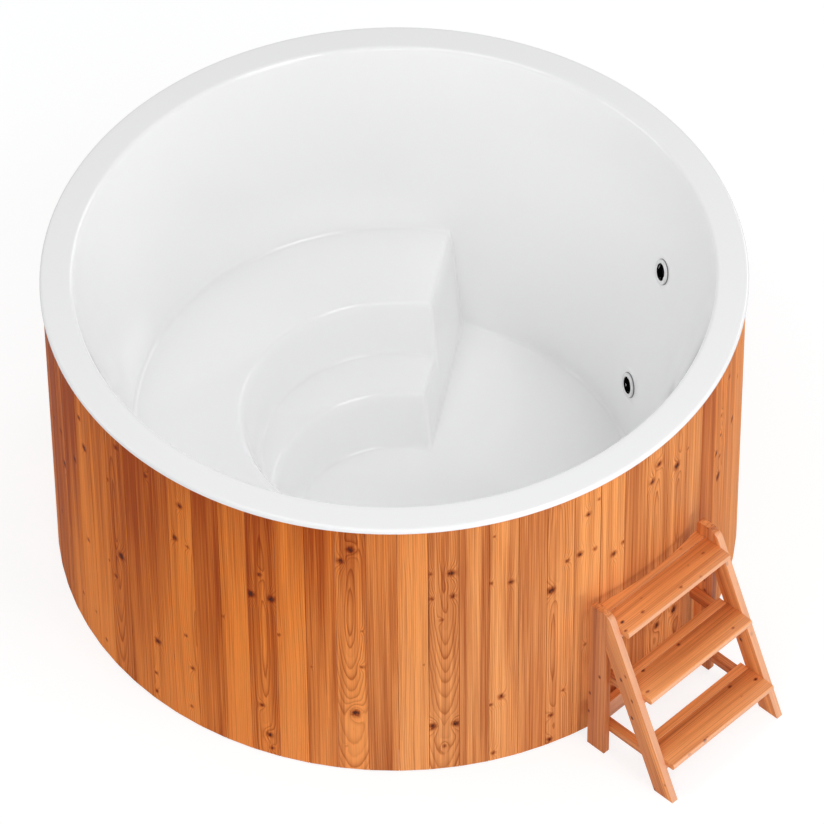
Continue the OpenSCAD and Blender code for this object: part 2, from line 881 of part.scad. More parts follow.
// Angle on the head's rounding that stands over distance x, from the slope's to upright
function head_angle(x) = acos(min(max((x - round_c[0]) / head_round, 0), cos(stair_lean)));

// Height of the sloping front edge at distance x
function slope_z(x) = (foot_front - x) / lean_run;

// A side board with outline pts, in the frame's own X and Z, from y = y0 inwards
module side_board(pts, y0) {
  translate([0, y0 + side_t, 0]) rotate([90, 0, 0]) linear_extrude(height = side_t) polygon(pts);
}

leg_pts = concat(
  [[leg_back, 0], [leg_front, 0]],
  leg_front > round_end ? [[leg_front, slope_z(leg_front)]] : [],
  leg_front > round_c[0] ? arc(round_c, head_round, head_angle(leg_front), 90, 4) : [[leg_front, stair_h]],
  arc([leg_back + rear_round, stair_h - rear_round], rear_round, 90, 180, 6)
);

stringer_back = leg_front + side_joint;
stringer_mitre_z = slope_z(stringer_back + foot_w);
stringer_pts = concat(
  [[foot_front - foot_w, 0], [foot_front, 0]],
  stringer_back < round_end ? arc(round_c, head_round, stair_lean, head_angle(stringer_back), 8)
  : [[stringer_back, slope_z(stringer_back)]],
  stringer_back < round_c[0] ? [[stringer_back, stair_h]] : [],
  [[stringer_back, stringer_mitre_z]]
);

left_y = -stair_w / 2;
right_y = stair_w / 2 - side_t;

module stair_left_leg() { color(wood_red) at_stair() side_board(leg_pts, left_y); }
module stair_right_leg() { color(wood_red) at_stair() side_board(leg_pts, right_y); }
module stair_left_stringer() { color(wood_red) at_stair() side_board(stringer_pts, left_y); }
module stair_right_stringer() { color(wood_red) at_stair() side_board(stringer_pts, right_y); }

// Top of tread i, counted from the lowest, and the front edge of its nose
function tread_z(i) = first_rise + i * tread_rise;
function nose_x(i) = foot_front - tread_z(i) * lean_run + nose_out;

inside_w = stair_w - 2 * side_t - 2 * side_joint;
inside_y = -inside_w / 2;

// Section of a tread's front board, with a rounded nose
function tread_section(i) =
  let(x = nose_x(i), z = tread_z(i))
  concat(
    [[x - tread_front_w, z], [x - tread_front_w, z - tread_t]],
    arc([x - nose_round, z - tread_t + nose_round], nose_round, -90, 0, 5),
    arc([x - nose_round, z - nose_round], nose_round, 0, 90, 5)
  );

module tread_front(i) {
  color(wood_red)
    at_stair()
      translate([0, -inside_y, 0])
        rotate([90, 0, 0]) linear_extrude(height = inside_w) polygon(tread_section(i));
}

module tread_rear(i) {
  x = nose_x(i) - tread_front_w - tread_gap - tread_rear_w;
  color(wood_red)
    at_stair()
      translate([x, inside_y, tread_z(i) - tread_t]) cube([tread_rear_w, inside_w, tread_t]);
}

// The top tread's rear board is cut hollow, to follow the round wall
module top_tread_rear() {
  x = nose_x(2) - tread_front_w - tread_gap;
  cut_r = wall_r + tread_wall_gap;
  color(wood_red)
    difference() {
      at_stair()
        translate([leg_back - stair_gap, inside_y, tread_z(2) - tread_t])
          cube([x - leg_back + stair_gap, inside_w, tread_t]);
      cylinder(r = cut_r, h = tub_h);
    }
}

module top_tread_front() { tread_front(2); }
module middle_tread_front() { tread_front(1); }
module middle_tread_rear() { tread_rear(1); }
module bottom_tread_front() { tread_front(0); }
module bottom_tread_rear() { tread_rear(0); }

// A pair of battens under tread i, on the inner faces of the side frames
module batten_pair(i) {
  low = tread_z(i) - tread_t - batten_h;
  start = i == 0 ? leg_back + side_t + side_joint : leg_back + 2;
  stop = foot_front - (low + batten_h) * lean_run - 6;
  color(wood_red)
    at_stair()
      for (y = [inside_y - side_joint, -inside_y + side_joint - batten_t])
        translate([start, y, low]) cube([stop - start, batten_t, batten_h]);
}

module top_battens() { batten_pair(2); }
module middle_battens() { batten_pair(1); }
module bottom_battens() { batten_pair(0); }

module stair_rear_rail() {
  color(wood_red)
    at_stair() translate([leg_back, inside_y, rail_z]) cube([side_t, inside_w, rail_h]);
}

liner();
wall_insulation();
bedding_sheet();
base_disc();
middle_ring();
upper_ring();
bearers();
lower_posts();
upper_posts();
bench_posts();
wall_boards_01();
wall_boards_02();
wall_boards_03();
wall_boards_04();
wall_boards_05();
wall_boards_06();
wall_boards_07();
wall_boards_08();
wall_boards_09();
wall_boards_10();
wall_boards_11();
wall_boards_12();
upper_fitting();
upper_gasket();
upper_locknut();
upper_pipe();
upper_coupling();
lower_fitting();
lower_gasket();
lower_locknut();
lower_pipe();
lower_coupling();
drain_fitting();
drain_strainer();
drain_gasket();
drain_locknut();
drain_elbow();
drain_pipe();
valve_body();
valve_ball();
valve_handle();
stair_left_leg();
stair_right_leg();
stair_left_stringer();
stair_right_stringer();
top_tread_front();
top_tread_rear();
middle_tread_front();
middle_tread_rear();
bottom_tread_front();
bottom_tread_rear();
top_battens();
middle_battens();
bottom_battens();
stair_rear_rail();
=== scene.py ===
import bpy
import json
import math
import numpy as np
from mathutils import Matrix, Vector


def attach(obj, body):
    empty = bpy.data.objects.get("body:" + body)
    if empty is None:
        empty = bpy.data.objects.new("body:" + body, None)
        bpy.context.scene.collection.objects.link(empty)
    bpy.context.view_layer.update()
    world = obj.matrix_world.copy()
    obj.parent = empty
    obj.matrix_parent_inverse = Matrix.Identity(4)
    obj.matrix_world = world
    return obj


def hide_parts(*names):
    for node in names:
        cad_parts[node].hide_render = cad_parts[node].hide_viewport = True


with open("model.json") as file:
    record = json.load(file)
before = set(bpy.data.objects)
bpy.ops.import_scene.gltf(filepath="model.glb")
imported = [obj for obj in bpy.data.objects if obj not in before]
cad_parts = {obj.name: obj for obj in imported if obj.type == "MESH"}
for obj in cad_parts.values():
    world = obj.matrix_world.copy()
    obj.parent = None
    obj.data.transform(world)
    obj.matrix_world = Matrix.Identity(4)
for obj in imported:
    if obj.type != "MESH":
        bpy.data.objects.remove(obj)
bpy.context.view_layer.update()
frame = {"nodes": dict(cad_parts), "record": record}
node = frame["nodes"]


# Camera, floor and light. A long lens looks down at the tub from the front. The floor
# is a white seamless sheet that the camera sees nearly burnt out, and a bright even
# surround with six large soft panels lights the tub, most of all from the front right.
CAMERA_AT = (0.0, -13.269, 14.380)
CAMERA_YAW, CAMERA_PITCH, CAMERA_ROLL = 0.2, 46.43, -0.59
CAMERA_LENS, CAMERA_SENSOR = 290.1, 36.0
CAMERA_CLIP = (0.1, 100.0)
PANELS = [
    # name, place, size in metres, power in watts
    ("front", (0.0, -7.0, 4.0), 4.0, 69.5),
    ("front_right_high", (3.2, -3.2, 6.2), 3.0, 117.3),
    ("front_right_low", (5.0, -6.0, 1.2), 3.0, 118.8),
    ("left", (-7.0, 0.0, 4.0), 4.0, 75.8),
    ("back_right", (5.0, 5.0, 4.5), 4.0, 97.3),
    ("overhead", (-1.4, -0.8, 6.0), 2.4, 32.9),
]
PANELS_FACE = Vector((0, 0, 0.4))
WHITE = (1.0, 1.0, 1.0, 1.0)
# strength of the surround as light, and as the camera sees it
SKY_LIGHT, SKY_SEEN = 0.41, 1.0
FLOOR_HALF = 30
FLOOR_COLOUR = (0.90, 0.93, 0.95, 1)
# what the camera sees of the floor is partly a glow: its strength, and its share
GLOW, GLOW_SHARE = 1.16, 0.68


def camera_axes(yaw, pitch, roll):
    """Right, up and back unit vectors of a camera that looks along +Y, is turned
    right by yaw, tilted down by pitch and rolled by roll, all in degrees."""
    y, p, r = (math.radians(a) for a in (yaw, pitch, roll))
    ahead = Vector((math.sin(y) * math.cos(p), math.cos(y) * math.cos(p), -math.sin(p)))
    flat = Vector((math.cos(y), -math.sin(y), 0.0))
    rise = flat.cross(ahead)
    right = math.cos(r) * flat + math.sin(r) * rise
    up = -math.sin(r) * flat + math.cos(r) * rise
    return right, up, -ahead


camera = bpy.data.objects.new("camera", bpy.data.cameras.new("camera"))
bpy.context.scene.collection.objects.link(camera)
camera.matrix_world = Matrix.Translation(CAMERA_AT) @ Matrix(
    camera_axes(CAMERA_YAW, CAMERA_PITCH, CAMERA_ROLL)).transposed().to_4x4()
camera.data.sensor_width = CAMERA_SENSOR
camera.data.lens = CAMERA_LENS
camera.data.clip_start, camera.data.clip_end = CAMERA_CLIP
bpy.context.scene.camera = camera
bpy.context.scene.view_settings.view_transform = "Standard"


def add(tree, kind, sockets=None, **settings):
    """A new node. Each entry of sockets is a constant, or another node's output to link."""
    made = tree.nodes.new(kind)
    for key, value in settings.items():
        setattr(made, key, value)
    for key, value in (sockets or {}).items():
        if isinstance(value, bpy.types.NodeSocket):
            tree.links.new(value, made.inputs[key])
        else:
            made.inputs[key].default_value = value
    return made


def calc(tree, operation, *values, clamp=False):
    """The output of one Math node over values."""
    return add(tree, "ShaderNodeMath", dict(enumerate(values)),
               operation=operation, use_clamp=clamp).outputs[0]


def material(name):
    """A new material's (material, tree, Principled BSDF)."""
    made = bpy.data.materials.new(name)
    made.use_nodes = True
    return made, made.node_tree, made.node_tree.nodes["Principled BSDF"]


def set_bsdf(bsdf, **values):
    """Sets the Principled BSDF's sockets, where _ in a key is a space in the name."""
    for key, value in values.items():
        socket = bsdf.inputs[key.replace("_", " ")]
        if isinstance(value, bpy.types.NodeSocket):
            bsdf.id_data.links.new(value, socket)
        else:
            socket.default_value = value


for panel_name, place, width, power in PANELS:
    light = bpy.data.lights.new(panel_name, "AREA")
    light.shape, light.size, light.energy = "DISK", width, power
    panel = bpy.data.objects.new(panel_name, light)
    panel.location = place
    panel.rotation_mode = "QUATERNION"
    panel.rotation_quaternion = (Vector(place) - PANELS_FACE).to_track_quat("Z", "Y")
    bpy.context.scene.collection.objects.link(panel)

world = bpy.data.worlds.new("studio")
world.use_nodes = True
bpy.context.scene.world = world
sky = world.node_tree.nodes["Background"]
sky.inputs["Color"].default_value = WHITE
sky_seen = add(world.node_tree, "ShaderNodeLightPath").outputs["Is Camera Ray"]
sky_strength = add(world.node_tree, "ShaderNodeMix", {0: sky_seen, 2: SKY_LIGHT, 3: SKY_SEEN})
world.node_tree.links.new(sky_strength.outputs[0], sky.inputs["Strength"])

floor_mesh = bpy.data.meshes.new("floor")
floor_mesh.from_pydata(
    [(x * FLOOR_HALF, y * FLOOR_HALF, 0) for x, y in ((-1, -1), (1, -1), (1, 1), (-1, 1))],
    [], [(0, 1, 2, 3)])
floor = bpy.data.objects.new("floor", floor_mesh)
bpy.context.scene.collection.objects.link(floor)
floor_material, floor_tree, floor_bsdf = material("floor_sheet")
set_bsdf(floor_bsdf, Base_Color=FLOOR_COLOUR, Roughness=0.9, Specular_IOR_Level=0.0)
glow = add(floor_tree, "ShaderNodeEmission", {"Color": WHITE, "Strength": GLOW})
floor_seen = add(floor_tree, "ShaderNodeLightPath").outputs["Is Camera Ray"]
burnt_out = add(floor_tree, "ShaderNodeMixShader", {
    0: calc(floor_tree, "MULTIPLY", floor_seen, GLOW_SHARE),
    1: floor_bsdf.outputs[0], 2: glow.outputs[0]})
floor_tree.links.new(burnt_out.outputs[0], floor_tree.nodes["Material Output"].inputs["Surface"])
floor_mesh.materials.append(floor_material)

# Liner. One moulded shell of white glass-reinforced plastic: a bathing floor, a
# curved bench and a lower step on its left, a leaning wall and a flat rim whose
# lip hangs over the boards. It is shaped as one skin with rounded edges.
TOP_Z = 1.020
FLOOR_Z, SEAT_Z, STEP_Z = 0.105, 0.430, 0.270
RIM_RADIUS, RIM_INNER = 1.0060, 0.9144
WALL_RUN, WALL_SAG = 0.212, 0.020
BENCH_EDGE, STEP_EDGE = 0.450, 0.363
STEP_CENTRE = np.array([0.008, -0.134])
RISER = math.tan(math.radians(18.0))
END_AZ, END_OFF, END_SLOPE = math.radians(78.6), 0.066, math.tan(math.radians(7.7))
# how far the rounding of the bench's and the step's edges reaches, and of their straight end
EDGE_ROUND, END_ROUND = 0.030, 0.075
# radii where the wall meets what it stands on, at the rim's inner edge and on its lip
FILLET, RIM_ROUND, LIP_ROUND = 0.016, 0.014, 0.008
LIP_Z, LIP_INNER = 1.003, 1.0012
FLANGE_Z, FLANGE_R = 1.0120, 0.965
FITTING_AZ = math.radians(19.5)
FITTINGS = (0.717, 0.279)
# each fitting's hole and its flat pad: radii, height, half its blend, and how deep it reaches
HOLE_R, PAD_R, PAD_H, PAD_SOFT, PAD_DEPTH = 0.034, 0.046, 0.0025, 0.004, 0.05
# the skin's rows: over the base to the bench's edge, round that edge, on to the fillet, in
# the fillet and up the wall, with heights round each fitting as well
BASE_ROWS, EDGE_ROWS, SEAT_ROWS, FILLET_ROWS, WALL_ROWS = 96, 12, 10, 8, 30
PAD_ROWS = np.arange(-0.054, 0.055, 0.006)
# how far inside and outside the bench's edge its own rows reach, a first guess at the
# radius of the wall's foot, and the least step up from there to the wall's first level row
EDGE_IN, EDGE_OUT, FOOT_GUESS, FIRST_STEP = 0.012, 0.020, 0.70, 0.004
# heights on either side of which the wall's rows change from level to bunched
DEEP_BLEND = 0.05


def wall_radius(z):
    """Inner radius of the wall: RIM_INNER - run (1 - s) - 4 sag s (1 - s), where s is 0
    at the floor and 1 at the rim's top."""
    s = (z - FLOOR_Z) / (TOP_Z - FLOOR_Z)
    return RIM_INNER - WALL_RUN * (1 - s) - 4 * WALL_SAG * s * (1 - s)


def wall_lean(z):
    """The wall's slope from upright at z, in radians: atan of d(radius)/dz."""
    return np.arctan((wall_radius(z + 1e-4) - wall_radius(z - 1e-4)) / 2e-4)


def soft_min(a, b, k):
    """The smaller of a and b, rounded where they differ by less than k: min(a, b) - k h^2 / 4
    with h = max(1 - |a - b| / k, 0)."""
    h = np.maximum(1 - np.abs(a - b) / k, 0)
    return np.minimum(a, b) - k * h * h / 4


def soft_max(a, b, k):
    """The larger of a and b, rounded in the same way."""
    return -soft_min(-a, -b, k)


end_along = np.array([math.cos(END_AZ), math.sin(END_AZ)])
end_across = np.array([math.sin(END_AZ), -math.cos(END_AZ)])


def base_height(xy):
    """Height of the floor, step and bench at points xy: the step's and the bench's
    sloping fronts are cones of slope 1 / tan(riser), cut off at their tops, and the
    straight end is a plane that leans by its own slope."""
    r = np.hypot(xy[..., 0], xy[..., 1])
    r_step = np.hypot(xy[..., 0] - STEP_CENTRE[0], xy[..., 1] - STEP_CENTRE[1])
    bench = soft_min(SEAT_Z + (r - BENCH_EDGE) / RISER, SEAT_Z, EDGE_ROUND)
    step = soft_min(STEP_Z + (r_step - STEP_EDGE) / RISER, STEP_Z, EDGE_ROUND)
    raised = soft_max(bench, step, EDGE_ROUND)
    plane = FLOOR_Z + (END_OFF - xy @ end_across) / END_SLOPE
    return soft_max(soft_min(raised, plane, END_ROUND), FLOOR_Z, EDGE_ROUND)


def smooth(t):
    """3 t^2 - 2 t^3."""
    return t * t * (3 - 2 * t)


# The skin's columns start on a small circle round a point in the bench's end plane. Near
# that plane they run parallel to it, and elsewhere they fan out to the wall.
POLE_OFF, POLE_R, BAND = 0.044, 0.100, 0.046
BAND_N, FAN_N = 31, 128
pole = POLE_OFF * end_across
edge_angle = math.asin(BAND / POLE_R)
start, turn = [], []
for side, half_turn in ((1, 0.0), (-1, math.pi)):
    for d in side * np.linspace(-BAND, BAND, BAND_N):
        start.append([d, side * math.sqrt(POLE_R**2 - d**2)])
        turn.append(half_turn)
    for t in np.linspace(0, 1, FAN_N + 2)[1:-1]:
        a = edge_angle + (math.pi - 2 * edge_angle) * t + half_turn
        start.append([POLE_R * math.sin(a), POLE_R * math.cos(a)])
        turn.append(math.pi * t + half_turn)
to_world = np.stack([end_across, end_along])
column_at = pole + np.array(start) @ to_world
column_to = np.stack([np.sin(turn), np.cos(turn)], 1) @ to_world
COLUMNS = len(turn)


def reach(radius):
    """Where each column's line meets the circle of that radius round the tub's axis."""
    b = np.einsum("ij,ij->i", column_to, column_at)
    c = np.einsum("ij,ij->i", column_at, column_at) - np.asarray(radius) ** 2
    return column_at + column_to * (-b + np.sqrt(b * b - c))[:, None]


def base_rows(a, b, steps):
    """Rows of points a + (b - a) t in plan for each t of steps, at the base's height."""
    return [(a + (b - a) * t, None) for t in steps]


# from the middle over the step to the bench's edge, and over the seat to the wall's foot
inner_xy, outer_xy = reach(BENCH_EDGE - EDGE_IN), reach(BENCH_EDGE + EDGE_OUT)
foot_height = base_height(reach(FOOT_GUESS))
for _ in range(3):
    foot_height = base_height(reach(wall_radius(foot_height)))
foot_lean = wall_lean(foot_height + 0.010)
fillet_r = (wall_radius(foot_height + FILLET * (1 - np.sin(foot_lean)))
            - FILLET * np.cos(foot_lean))
rows = base_rows(column_at, inner_xy, np.linspace(0, 1, BASE_ROWS))
rows += base_rows(inner_xy, outer_xy, np.linspace(0, 1, EDGE_ROWS)[1:])
rows += base_rows(outer_xy, reach(fillet_r), np.linspace(0, 1, SEAT_ROWS)[1:-1])
for t in np.linspace(0, 1, FILLET_ROWS):
    a = -math.pi / 2 + (math.pi / 2 - foot_lean) * t
    rows.append((reach(fillet_r + FILLET * np.cos(a)), foot_height + FILLET * (1 + np.sin(a))))

# up the wall: rows share heights on the deep side and bunch up towards the bench on the
# other, and they are closer where the fittings sit
rim_lean = wall_lean(TOP_Z - RIM_ROUND)
wall_start = rows[-1][1]
wall_end = TOP_Z - RIM_ROUND * (1 - math.sin(rim_lean))
wall_steps = sorted(
    list(np.linspace(0, 1, WALL_ROWS)[1:])
    + [(z + d - FLOOR_Z) / (wall_end - FLOOR_Z) for z in FITTINGS for d in PAD_ROWS])
on_deep = np.clip((FLOOR_Z + DEEP_BLEND - foot_height) / DEEP_BLEND, 0, 1)
for t in wall_steps:
    z = wall_start + (wall_end - wall_start) * t
    deep = FLOOR_Z + (wall_end - FLOOR_Z) * t
    z = np.where(deep > wall_start + FIRST_STEP, on_deep * deep + (1 - on_deep) * z, z)
    rows.append((reach(wall_radius(z)), z))

# over the rim's inner edge, across its flat top, round the lip and under it to the flange
rim_r = wall_radius(wall_end) + RIM_ROUND * math.cos(rim_lean)
lip_r = RIM_RADIUS - LIP_ROUND
profile = [(rim_r + RIM_ROUND * math.cos(a), TOP_Z - RIM_ROUND + RIM_ROUND * math.sin(a))
           for a in np.linspace(math.pi - rim_lean, math.pi / 2, 10)[1:]]
profile += [(r, TOP_Z) for r in np.linspace(rim_r, lip_r, 8)[1:-1]]
profile += [(lip_r + LIP_ROUND * math.cos(a), TOP_Z - LIP_ROUND + LIP_ROUND * math.sin(a))
            for a in np.linspace(math.pi / 2, 0, 8)]
profile += [(RIM_RADIUS, 1.0086), (RIM_RADIUS, 1.0052), (RIM_RADIUS - 0.0004, LIP_Z + 0.0007),
            (RIM_RADIUS - 0.0012, LIP_Z), (1.0035, LIP_Z), (LIP_INNER + 0.0004, LIP_Z),
            (LIP_INNER, LIP_Z + 0.0005), (LIP_INNER, FLANGE_Z), (FLANGE_R, FLANGE_Z)]
rows += [(reach(r), np.full(COLUMNS, z)) for r, z in profile]
skin = np.array([np.column_stack([xy, base_height(xy) if z is None else z]) for xy, z in rows])

# round flat pads for the two wall fittings, and the holes through them
fitting_frames = []
for z in FITTINGS:
    tilt = wall_lean(z)
    out = np.array([math.cos(tilt) * math.cos(FITTING_AZ), math.cos(tilt) * math.sin(FITTING_AZ),
                    -math.sin(tilt)])
    at = np.array([wall_radius(z) * math.cos(FITTING_AZ), wall_radius(z) * math.sin(FITTING_AZ), z])
    fitting_frames.append((at, out))
hole = np.zeros(skin.shape[:2], bool)
for at, out in fitting_frames:
    rel = skin - at
    depth = rel @ out
    off = np.linalg.norm(rel - depth[..., None] * out, axis=2)
    near = np.abs(depth) < PAD_DEPTH
    lift = smooth(np.clip((PAD_R + PAD_SOFT - off) / (2 * PAD_SOFT), 0, 1))
    skin += np.where(near, lift * (-PAD_H - depth), 0)[..., None] * out
    hole |= near & (off < HOLE_R)

n_rows = len(skin)
centre = np.array([*pole, FLOOR_Z])
vertices = np.vstack([centre[None], skin.reshape(-1, 3)])
index = 1 + np.arange(n_rows * COLUMNS).reshape(n_rows, COLUMNS)
following = np.roll(index, -1, axis=1)
quads = np.stack([index[:-1], index[1:], following[1:], following[:-1]], -1)
next_hole = np.roll(hole, -1, axis=1)
quads = quads[~(hole[:-1] & hole[1:] & next_hole[1:] & next_hole[:-1])]
cap = [(0, int(a), int(b)) for a, b in zip(index[0], following[0])]


def mesh_object(name, points, faces, body, shade=True):
    """A mesh piece from points and faces, on a CAD body."""
    mesh = bpy.data.meshes.new(name)
    mesh.from_pydata([tuple(map(float, p)) for p in points], [], faces)
    if shade:
        mesh.polygons.foreach_set("use_smooth", [True] * len(mesh.polygons))
    mesh.validate()
    mesh.update()
    obj = bpy.data.objects.new(name, mesh)
    bpy.context.scene.collection.objects.link(obj)
    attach(obj, body)
    return obj


liner = mesh_object("liner_shell", vertices, cap + quads.tolist(), "tub")
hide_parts("liner")
shell_material, _, shell_bsdf = material("liner_gelcoat")
set_bsdf(shell_bsdf, Base_Color=(0.985, 0.986, 0.988, 1), Roughness=0.35,
         Specular_IOR_Level=0.2, Coat_Weight=0.9, Coat_Roughness=0.05, Coat_IOR=1.6)
liner.data.materials.append(shell_material)

# Wood. Every wooden piece shares one effect: rings of growth cut by the piece's
# faces, long fibres, slow streaks of tone and dark knots.
LIGHT_WOOD, DARK_WOOD = (0.96, 0.410, 0.142, 1), (0.43, 0.108, 0.030, 1)
WARM_TINT = (0.97, 0.68, 0.35, 1)
RING_TINT, HALO_TINT = (0.47, 0.25, 0.15, 1), (0.46, 0.21, 0.13, 1)
KNOT_HEART = (0.055, 0.020, 0.014, 1)
# noises stretched along the grain: scale across, through and along it, and detail
GRAIN_NOISES = {
    "fibre": ((520.0, 520.0, 9.0), 3.0),
    "fine": ((1300.0, 1300.0, 40.0), 2.0),
    "streak": ((40.0, 40.0, 0.8), 3.0),
    "thread": ((240.0, 240.0, 2.2), 2.0),
    "wave": ((11.0, 11.0, 3.2), 3.0),
    "broad": ((6.0, 6.0, 0.8), 1.0),
    "ragged": ((150.0, 150.0, 90.0), 3.0),
}
# how far a noise moves the tone, from its lowest to its highest
TONE_SWINGS = {"streak": 1.70, "thread": 1.20, "broad": 1.00}
# what a joint between boards darkens to, and what an edge that catches the light turns to
JOINT_TINT, LIT_WOOD, LIT_SHARE = (0.10, 0.05, 0.03, 1), (1.0, 0.60, 0.40, 1), 0.6
# how far the slow wave and the fibres push a ring, in metres
WAVE_PUSH, FIBRE_PUSH = 0.014, 0.0009
# a ring's strength, by chance and at least; how it darkens: the power of its rise, where it
# drops back and its gain; and how deep late wood lies
RING_CHANCE, RING_LEAST = 0.75, 0.12
LATE_POWER, LATE_DROP, LATE_GAIN, LATE_DENT = 2.6, 0.86, 1.45, 0.5
# ramps from low..high to a share of colour: fibres, a knot's edge and its heart
FIBRE_SHADE, HALO, CORE = (0.25, 0.75, 0.90, 1.07), (0.14, 0.62, 0.0, 0.85), (0.56, 0.88, 0.0, 0.94)
FINE_SWING, RAGGED_SWING = 0.12, 1.1
ROUGH_SWING, ROUGH_LEAST, BUMP_STRENGTH = 0.20, 0.42, 0.35


def blend_colour(tree, mode, factor, a, b):
    """a and b mixed as colours by factor."""
    return add(tree, "ShaderNodeMix", {0: factor, 6: a, 7: b},
               data_type="RGBA", blend_type=mode).outputs[2]


def ramp(tree, value, low, high, at_low, at_high):
    """value carried from low..high to at_low..at_high in a straight line, held at both ends."""
    return add(tree, "ShaderNodeMapRange",
               {0: value, 1: low, 2: high, 3: at_low, 4: at_high}).outputs[0]


def vector_calc(tree, operation, a, b, output=0):
    """An output of one Vector Math node over a and b: 0 is its vector and 1 its number."""
    return add(tree, "ShaderNodeVectorMath", {0: a, 1: b}, operation=operation).outputs[output]


def scaled(tree, vector, factor):
    """vector times the number factor."""
    return add(tree, "ShaderNodeVectorMath", {0: vector, "Scale": factor},
               operation="SCALE").outputs[0]


def wood_group():
    """Node group of the wood. Rings are bands of (ring + noise) / spacing: each band darkens
    slowly from early to late wood and then drops back, by figure. Fibres, threads and
    streaks are noise stretched along the grain. Warm is how deep the oil has coloured the wood; on
    the wall boards it also carries painted shade, more under the rim's lip and on the left.
    A knot is a dark heart with a red-brown edge where knot + noise nears 1."""
    tree = bpy.data.node_groups.new("wood_grain", "ShaderNodeTree")
    for name, kind, value in (
        ("Grain", "NodeSocketVector", (0, 0, 0)), ("Ring", "NodeSocketFloat", 0.0),
        ("Tone", "NodeSocketFloat", 0.5), ("Knot", "NodeSocketFloat", 0.0),
        ("Spacing", "NodeSocketFloat", 0.005), ("Figure", "NodeSocketFloat", 0.8),
        ("Warm", "NodeSocketFloat", 0.0),
        ("Light", "NodeSocketColor", LIGHT_WOOD), ("Dark", "NodeSocketColor", DARK_WOOD),
    ):
        tree.interface.new_socket(name, in_out="INPUT", socket_type=kind).default_value = value
    i = add(tree, "NodeGroupInput").outputs

    def swung(value, noise, amount):
        """value + (noise - 0.5) amount."""
        return calc(tree, "MULTIPLY_ADD", calc(tree, "SUBTRACT", noise, 0.5), amount, value)

    noise = {}
    for name, (scale, detail) in GRAIN_NOISES.items():
        stretched = vector_calc(tree, "MULTIPLY", i["Grain"], scale)
        noise[name] = add(tree, "ShaderNodeTexNoise", {
            "Vector": stretched, "Scale": 1.0, "Detail": detail}).outputs["Fac"]
    bent = calc(tree, "MULTIPLY_ADD", noise["wave"], WAVE_PUSH, i["Ring"])
    bent = calc(tree, "MULTIPLY_ADD", noise["fibre"], FIBRE_PUSH, bent)
    count = calc(tree, "DIVIDE", bent, i["Spacing"])
    phase = calc(tree, "FRACT", count)
    chance = add(tree, "ShaderNodeTexWhiteNoise", {"W": calc(tree, "FLOOR", count)},
                 noise_dimensions="1D").outputs["Value"]
    strength = calc(tree, "MULTIPLY_ADD", chance, RING_CHANCE, RING_LEAST)
    rise = calc(tree, "POWER", phase, LATE_POWER)
    fall = ramp(tree, phase, LATE_DROP, 1.0, 1.0, 0.0)
    late = calc(tree, "MULTIPLY", calc(tree, "MULTIPLY", rise, fall), LATE_GAIN, clamp=True)
    late = calc(tree, "MULTIPLY", late, strength)
    tone = i["Tone"]
    for name, amount in TONE_SWINGS.items():
        tone = swung(tone, noise[name], amount)
    base = blend_colour(tree, "MIX", tone, i["Light"], i["Dark"])
    base = blend_colour(tree, "MULTIPLY", i["Warm"], base, WARM_TINT)
    figure = calc(tree, "MULTIPLY", late, i["Figure"])
    ringed = blend_colour(tree, "MULTIPLY", figure, base, RING_TINT)
    grain = swung(ramp(tree, noise["fibre"], *FIBRE_SHADE), noise["fine"], FINE_SWING)
    shaded = scaled(tree, ringed, grain)
    ragged = calc(tree, "MULTIPLY", calc(tree, "SUBTRACT", noise["ragged"], 0.5),
                  calc(tree, "SQRT", i["Knot"]))
    knot = calc(tree, "MULTIPLY_ADD", ragged, RAGGED_SWING, i["Knot"])
    halo, core = ramp(tree, knot, *HALO), ramp(tree, knot, *CORE)
    haloed = blend_colour(tree, "MULTIPLY", halo, shaded, HALO_TINT)
    relief = calc(tree, "MULTIPLY_ADD", late, -LATE_DENT, noise["fibre"])
    rough = calc(tree, "MULTIPLY_ADD", noise["fibre"], ROUGH_SWING, ROUGH_LEAST)
    outputs = {
        "Color": ("NodeSocketColor", blend_colour(tree, "MIX", core, haloed, KNOT_HEART)),
        "Rough": ("NodeSocketFloat", rough),
        "Height": ("NodeSocketFloat", calc(tree, "SUBTRACT", relief, core)),
    }
    for name, (kind, _) in outputs.items():
        tree.interface.new_socket(name, in_out="OUTPUT", socket_type=kind)
    out = add(tree, "NodeGroupOutput")
    for name, (_, value) in outputs.items():
        tree.links.new(value, out.inputs[name])
    return tree


WOOD = wood_group()

# Wall boards. Seventy-three planed and oiled softwood boards, tongued and grooved,
# with bevelled edges. Each is cut flat from a different part of a log, so some show
# arches, some straight lines, and most have a few knots.
WALL_RADIUS = 1.0
BOARD_N, BOARD_T = 73, 0.020
PITCH = 2 * math.pi / BOARD_N
FIRST_JOINT = math.radians(3.5)
BOARD_LOW, BOARD_HIGH = 0.004, 1.0117
BEVEL, HALF_GAP = 0.0022, 0.0003
BOARD_SHEEN, BOARD_BUMP, BOARD_SPACING = 0.05, 0.0004, 0.0062
# points across a board's face, and rows up it
FACE_N, HEIGHT_N = 15, 240
GROUPS = [(g * 6, g * 6 + 6) for g in range(11)] + [(66, 73)]
